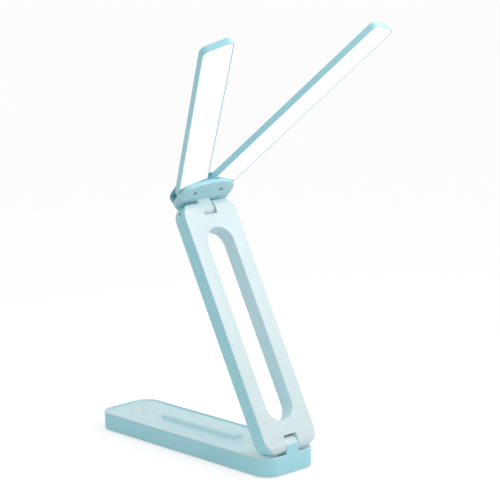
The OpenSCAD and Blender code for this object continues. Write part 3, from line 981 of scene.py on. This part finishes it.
@dataclass
class Arm:
    """The slotted arm between the two friction hinges."""

    wardrobe: Wardrobe
    axes: BodyFrame
    half_width: float
    span: float
    edge_mm: float = 0.25
    lug_mm: float = 12.0
    slot_edge_mm: float = 0.9
    slot_facets: int = 5
    slot_zone: float = 0.53      # of the half width, within which the slot lies
    side_zone: float = 0.56      # of the half width, outside which the side walls lie
    steep: float = 0.62          # a wall's normal has less than this along the arm's
    across: float = 0.3          # a face square to the front has less, and a side wall more than this in X
    ahead: float = 0.9           # a front face's normal has more than this along the arm's
    wires: int = 6

    def build(self) -> None:
        """Build every piece that rides on the arm."""
        dress = self.wardrobe.dress
        shell = dress("arm_shell", "arm_housing", PALE_AND_PAINTED_LIGHT_ABS, self.edge_mm, self.round_slot)
        # Painted light and shade: the arm is pale where light falls, mint is left on its side walls, and the
        # slot's walls get the half-lit tone
        tone(shell, MINT_ABS, self.is_side)
        tone(shell, HALF_LIT_PAINTED_ABS, self.is_slot)
        dress("arm_cover", "arm_rear_cover", PALE_AND_PAINTED_LIGHT_ABS, self.edge_mm)
        backwards = self.axes.matrix() @ Matrix.Rotation(math.pi, 4, "Y")
        self.wardrobe.screws("arm_screws", "arm_cross_screws", backwards)
        self.cable()
        for hinge in ("fold", "tilt"):
            dress(f"{hinge}_pin", f"{hinge}_hinge_pin", PLATED_STEEL, self.edge_mm)

    def round_slot(self, piece: Object) -> None:
        """Round the slot's front edge.

        Args:
            piece: The arm's copy.
        """
        with editing(piece.data) as work:
            work.normal_update()
            rim = []
            for edge in work.edges:
                looks = sorted(face.normal.dot(self.axes.normal) for face in edge.link_faces)
                corner = len(looks) == 2 and abs(looks[0]) < self.across and looks[1] > self.ahead
                if corner and self.is_beside_slot((edge.verts[0].co + edge.verts[1].co) / 2):
                    rim.append(edge)
            bmesh.ops.bevel(
                work, geom=rim, offset=self.slot_edge_mm * MM, offset_type="OFFSET", profile=0.5,
                segments=self.slot_facets, affect="EDGES", clamp_overlap=True, material=-1)
        log.info("%d edges round the slot", len(rim))

    def is_beside_slot(self, centre: Vector) -> bool:
        """Whether a place is at the slot, away from both lugs and the outer walls."""
        along, lug = (centre - self.axes.origin).dot(self.axes.along), self.lug_mm * MM
        return lug < along < self.span - lug and abs(centre.x) < self.slot_zone * self.half_width

    def is_wall(self, normal: Vector) -> bool:
        """Whether a face with this normal is steeper than the arm's front and back."""
        return abs(normal.dot(self.axes.normal)) < self.steep

    def is_side(self, centre: Vector, normal: Vector) -> bool:
        """Whether a face belongs to an outer side wall or to a round corner that leads to it."""
        outer = abs(centre.x) > self.side_zone * self.half_width
        return outer and self.is_wall(normal) and abs(normal.x) > self.across

    def is_slot(self, centre: Vector, normal: Vector) -> bool:
        """Whether a face belongs to the slot's wall."""
        return self.is_beside_slot(centre) and self.is_wall(normal)

    def cable(self) -> None:
        """Flat cable as a row of round wires side by side."""
        frame = self.axes.matrix()
        back = frame.inverted()
        corners = [back @ vertex.co for vertex in bpy.data.objects["arm_ribbon"].data.vertices]
        width, length = [max(c[i] for c in corners) - min(c[i] for c in corners) for i in (0, 1)]
        pitch = width / self.wires
        maker = NodeMaker("flat_cable")
        wire = maker.cylinder(16, *maker.sizes({"Wire radius": 0.4, "Length": 100.0}))
        maker.close(maker.on_points(maker.placed(wire, "Rotation", (math.pi / 2, 0.0, 0.0))), JACKET)
        first = middle(corners) - Vector(((self.wires - 1) / 2 * pitch, 0, 0))
        points = [first + Vector((i * pitch, 0, 0)) for i in range(self.wires)]
        smooth(self.wardrobe.make(maker, "flat_cable", points, frame, "arm_ribbon", sizes={
            "Wire radius": pitch / 2, "Length": length}))


@dataclass
class Bracket:
    """The tilting clevis that carries both light bars."""

    wardrobe: Wardrobe
    axes: BodyFrame
    edge_mm: float = 0.3
    half_mm: float = 25.0
    low_mm: float = 5.8
    low_r_mm: float = 11.5
    plan_slack_mm: float = 0.3
    tip_r_mm: float = 12.0
    top_mm: float = 24.3
    arch_mm: float = 62.0
    front_mm: float = 8.0
    back_mm: float = 18.35
    back_edge_mm: float = 4.5
    round_steps: int = 6
    corner_steps: int = 12
    arch_steps: int = 16
    bore_mm: float = 2.1
    recess_mm: float = 1.7
    head_mm: float = 1.6
    cross_mm: float = 1.9
    blade_mm: float = 0.4
    lug_reach_mm: float = 6.3

    def build(self) -> None:
        """Build every piece that rides on the head."""
        dress = self.wardrobe.dress
        # Painted light: the plates get a lifted tone, as they look down, and the lug gets the lit pale tone
        front = dress("bracket_front", "bracket_front_plate", SOFT_PAINTED_LIGHT_ABS, self.edge_mm, self.shape_front)
        tone(front, PALE_AND_PAINTED_LIGHT_ABS, self.is_lug)
        dress("bracket_rear", "bracket_rear_plate", SOFT_PAINTED_LIGHT_ABS, self.edge_mm, self.shape_plan)
        self.wardrobe.screws("bracket_screws", "bracket_cross_screws", self.axes.matrix(), {
            "Head radius": self.head_mm * MM, "Recess width": self.cross_mm * MM,
            "Recess blade": self.blade_mm * MM})
        self.wardrobe.keep("tilt_washers", PLATED_STEEL)
        self.wardrobe.keep("swivel_washers", PLATED_STEEL)

    def outline(self) -> list[tuple[Vector, Vector]]:
        """Work out the bracket's plan: round lower corners, straight sides, rounder tips and an arch.

        Returns:
            Points with their outward normals, in millimetres, once round.
        """
        low_x = self.half_mm - self.low_r_mm
        low_y = self.low_r_mm - self.low_mm
        tip_x = self.half_mm - self.tip_r_mm
        arch_y = self.top_mm - self.arch_mm
        reach = self.arch_mm - self.tip_r_mm
        tip_y = arch_y + math.sqrt(reach ** 2 - tip_x ** 2)
        lean = math.degrees(math.asin(tip_x / reach))
        low_r, tip_r = self.low_r_mm + self.plan_slack_mm, self.tip_r_mm
        few, many = self.corner_steps, self.arch_steps
        arcs = [
            (low_x, low_y, low_r, -90, 0, few), (tip_x, tip_y, tip_r, 0, 90 - lean, few),
            (0, arch_y, self.arch_mm, 90 - lean, 90 + lean, many),
            (-tip_x, tip_y, tip_r, 90 + lean, 180, few), (-low_x, low_y, low_r, 180, 270, few),
        ]
        points = []
        for x, y, radius, start, end, steps in arcs:
            for step in range(1, steps + 1):
                turn = math.radians(start + (end - start) * (step - 0.5) / steps)
                out = Vector((math.cos(turn), math.sin(turn), 0))
                points.append((Vector((x, y, 0)) + out * radius, out))
        return points

    def shape_plan(self, piece: Object) -> None:
        """Cut a plate to the bracket's plan, with the rounding of its back edges.

        Args:
            piece: The plate's copy.
        """
        frame = self.axes.matrix()
        edge = self.back_edge_mm
        levels = [(self.front_mm, 0.0)]
        levels += [(edge * up - self.back_mm - OVERLAP_MM, edge * into)
                   for up, into in quarter_turn(self.round_steps)]
        rings = [[frame @ ((point - out * (inset - OVERLAP_MM) + Vector((0, 0, height))) * MM)
                  for point, out in self.outline()] for height, inset in levels]
        combine(piece, loft(rings), "INTERSECT")

    def shape_front(self, piece: Object) -> None:
        """Cut the front plate to its plan, and narrow its screw recesses.

        Args:
            piece: The plate's copy.
        """
        frame = self.axes.matrix()
        back = frame.inverted()
        centres = [back @ middle(solid) for solid in islands("bracket_screws")]
        wide, narrow = self.bore_mm * MM, self.recess_mm * MM
        for corner in piece.data.vertices:
            local = back @ corner.co
            for centre in centres:
                out = Vector((local.x - centre.x, local.y - centre.y, 0))
                if abs(out.length - wide) < SAME_MM * MM:
                    local -= out * (1 - narrow / wide)
                    corner.co = frame @ local
        self.shape_plan(piece)

    def is_lug(self, centre: Vector, normal: Vector) -> bool:
        """Whether a face belongs to the lug that turns in the arm's notch, whichever way it looks; these
        faces get the pale tone of painted light.
        """
        return (centre - self.axes.origin).dot(self.axes.normal) > -self.lug_reach_mm * MM


@dataclass
class LightBar:
    """One of the two bars: housing, LED board, LEDs, light guide and diffuser."""

    wardrobe: Wardrobe
    side: Side
    axes: BodyFrame
    edge_mm: float = 0.3
    panel_edge_mm: float = 0.2
    window_mm: float = 2.0
    gel_rise_mm: float = 0.3

    def build(self) -> None:
        """Build every piece that rides on this bar."""
        side = self.side.value
        self.wardrobe.dress(f"{side}_bar_shell", f"{side}_bar_housing", MINT_ABS, self.edge_mm)
        self.wardrobe.dress(f"{side}_diffuser", f"{side}_opal_panel", OPAL_SHEET, self.panel_edge_mm)
        self.wardrobe.keep(f"{side}_led_board", LED_BOARD)
        self.wardrobe.keep(f"{side}_light_guide", GUIDE_SHEET)
        self.leds(f"{side}_leds")

    def leds(self, node: str) -> None:
        """LED packages: a white cup with a square of phosphor in it.

        Args:
            node: The CAD node that they stand for.
        """
        frame = self.axes.matrix()
        points = seats(node, frame, min)
        maker = NodeMaker("led_package")
        width, length, height, window = maker.sizes({
            "Width": 2.8, "Length": 3.5, "Height": 0.7, "Window": self.window_mm})
        pocket = maker.raised(maker.block(window, window, height), height, 0.6)
        cup = maker.cut(maker.block(width, length, height), pocket)
        gel = maker.raised(maker.block(window, window, maker.times(height, 0.25)), height, 0.2)
        maker.close(maker.on_points(maker.raised(maker.joined([cup, gel]), height, 0.5)), LED_CUP)
        leds = self.wardrobe.make(maker, f"{self.side.value}_led_packages", points, frame, node)
        leds.data.materials.append(PHOSPHOR.material())
        back, half = frame.inverted(), (self.window_mm / 2 + SAME_MM) * MM
        for face in leds.data.polygons:
            place = back @ face.center
            along, beside = min(abs(place.y - point.y) for point in points), abs(place.x - points[0].x)
            if max(along, beside) < half and place.z > points[0].z + self.gel_rise_mm * MM:
                face.material_index = 1


@dataclass(frozen=True)
class Studio:
    """Plain pale floor, soft light from above and the photograph's camera."""

    eye_mm: Triple = (-864.7, -1030.9, 410.8)
    right: Triple = (0.74252, -0.66908, -0.03139)
    up: Triple = (0.14997, 0.12040, 0.98133)
    back: Triple = (-0.65282, -0.73337, 0.18974)
    lens_mm: float = 132.02
    sensor_mm: float = 36.0
    sight_m: float = 100.0
    floor_m: float = 30.0
    floor_grey: float = 0.5
    floor_glow: float = 1.25
    bounce_grey: float = 0.8
    sky: float = 0.7
    key_watts: float = 0.9
    key_place: Triple = (0.15, -0.30, 0.45)
    key_aim: Triple = (0.0, -0.02, 0.15)
    key_size: float = 0.3

    def build(self) -> None:
        """Build the floor, the lights and the camera."""
        self.floor()
        self.world()
        self.softbox()
        self.camera()

    def backdrop_mix(self, tree: Tree, light: Socket, seen: Socket) -> Socket:
        """Mix what lights the lamp with what is seen: by the camera, in a gloss or through a glass.

        Args:
            tree: Tree that gets the nodes.
            light: Shader for the rays that light the lamp.
            seen: Shader for the rays that see the backdrop.

        Returns:
            The mixed shader's socket.
        """
        path = tree.nodes.new("ShaderNodeLightPath").outputs
        factor = path["Is Camera Ray"]
        for ray in ("Is Glossy Ray", "Is Transmission Ray"):
            larger = add_node(tree, "ShaderNodeMath", {0: factor, 1: path[ray]}, {"operation": "MAXIMUM"})
            factor = larger.outputs[0]
        return add_node(tree, "ShaderNodeMixShader", {0: factor, 1: light, 2: seen}).outputs[0]

    def floor(self) -> None:
        """White floor that keeps the lamp's shadow."""
        half = self.floor_m / 2
        corners = [(-half, -half, 0), (half, -half, 0), (half, half, 0), (-half, half, 0)]
        floor = add_mesh("floor", corners, [(0, 1, 2, 3)])
        paint = bpy.data.materials.new("white_studio_floor")
        paint.use_nodes = True
        tree = paint.node_tree
        tree.nodes.clear()
        grey, pale = [(level, level, level, 1) for level in (self.floor_grey, self.bounce_grey)]
        shade = add_node(tree, "ShaderNodeBsdfDiffuse", {"Color": grey})
        white = add_node(tree, "ShaderNodeEmission", {"Color": grey, "Strength": self.floor_glow})
        seen = add_node(tree, "ShaderNodeAddShader", {0: shade.outputs[0], 1: white.outputs[0]})
        bounce = add_node(tree, "ShaderNodeBsdfDiffuse", {"Color": pale})
        mix = self.backdrop_mix(tree, bounce.outputs[0], seen.outputs[0])
        add_node(tree, "ShaderNodeOutputMaterial", {"Surface": mix})
        floor.data.materials.append(paint)

    def world(self) -> None:
        """White for the eye, a little less for the light."""
        world = bpy.data.worlds.new("studio")
        bpy.context.scene.world = world
        world.use_nodes = True
        tree = world.node_tree
        tree.nodes.clear()
        light, seen = [add_node(tree, "ShaderNodeBackground", {"Color": (1, 1, 1, 1), "Strength": level})
                       for level in (self.sky, 1.0)]
        mix = self.backdrop_mix(tree, light.outputs[0], seen.outputs[0])
        add_node(tree, "ShaderNodeOutputWorld", {"Surface": mix})

    def softbox(self) -> None:
        """Square soft light above the lamp's right front, near enough to fade towards the base."""
        data = bpy.data.lights.new("softbox", "AREA")
        data.shape = "SQUARE"
        data.size = self.key_size
        data.energy = self.key_watts
        light = add_object("softbox", data)
        light.location = self.key_place
        away = Vector(self.key_place) - Vector(self.key_aim)
        light.rotation_euler = away.to_track_quat("Z", "Y").to_euler()

    def camera(self) -> None:
        """Camera where the photograph's was, with its slight roll."""
        data = bpy.data.cameras.new("camera")
        data.lens = self.lens_mm
        data.sensor_width = self.sensor_mm
        data.clip_end = self.sight_m
        turned = Matrix((self.right, self.up, self.back)).transposed()
        camera = add_object("camera", data)
        camera.matrix_world = Matrix.Translation(Vector(self.eye_mm) * MM) @ turned.to_4x4()
        bpy.context.scene.camera = camera


def body_frames(joints: list[dict]) -> dict[Body, BodyFrame]:
    """Work out the axes of the arm, the head and the bars from the joints.

    Args:
        joints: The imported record's joints.

    Returns:
        Each body's frame at rest.
    """
    places = {joint["name"]: Vector(joint["pos_m"]) for joint in joints}
    axes = {joint["name"]: Vector(joint["axis"]).normalized() for joint in joints}
    across = Vector((1, 0, 0))
    fold, tilt = places["arm_fold"], places["head_tilt"]
    along_arm = (tilt - fold).normalized()
    swivel = axes["right_swivel"]
    normal = -swivel if swivel.z > 0 else swivel
    frames = {
        Body.ARM: BodyFrame(fold, along_arm, across.cross(along_arm)),
        Body.HEAD: BodyFrame(tilt, normal.cross(across), normal),
    }
    for side in Side:
        place = places[f"{side.value}_swivel"]
        solids = islands(f"{side.value}_leds")
        run = sum((middle(solid) for solid in solids), Vector()) / len(solids) - place
        run -= normal * run.dot(normal)
        frames[side.body] = BodyFrame(place, run.normalized(), normal)
    return frames


def main() -> None:
    """Load the frame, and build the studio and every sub-assembly."""
    logging.basicConfig(level=logging.INFO, format="%(name)s: %(message)s")
    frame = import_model()
    bpy.context.scene.view_settings.view_transform = "Standard"
    frames = body_frames(frame["joints"])
    Studio().build()
    Base(Wardrobe(Body.BASE)).build()
    span = (frames[Body.HEAD].origin - frames[Body.ARM].origin).length
    Arm(Wardrobe(Body.ARM), frames[Body.ARM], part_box("arm_shell")[1].x, span).build()
    Bracket(Wardrobe(Body.HEAD), frames[Body.HEAD]).build()
    for side in Side:
        LightBar(Wardrobe(side.body), side, frames[side.body]).build()


if __name__ == "__main__":
    main()
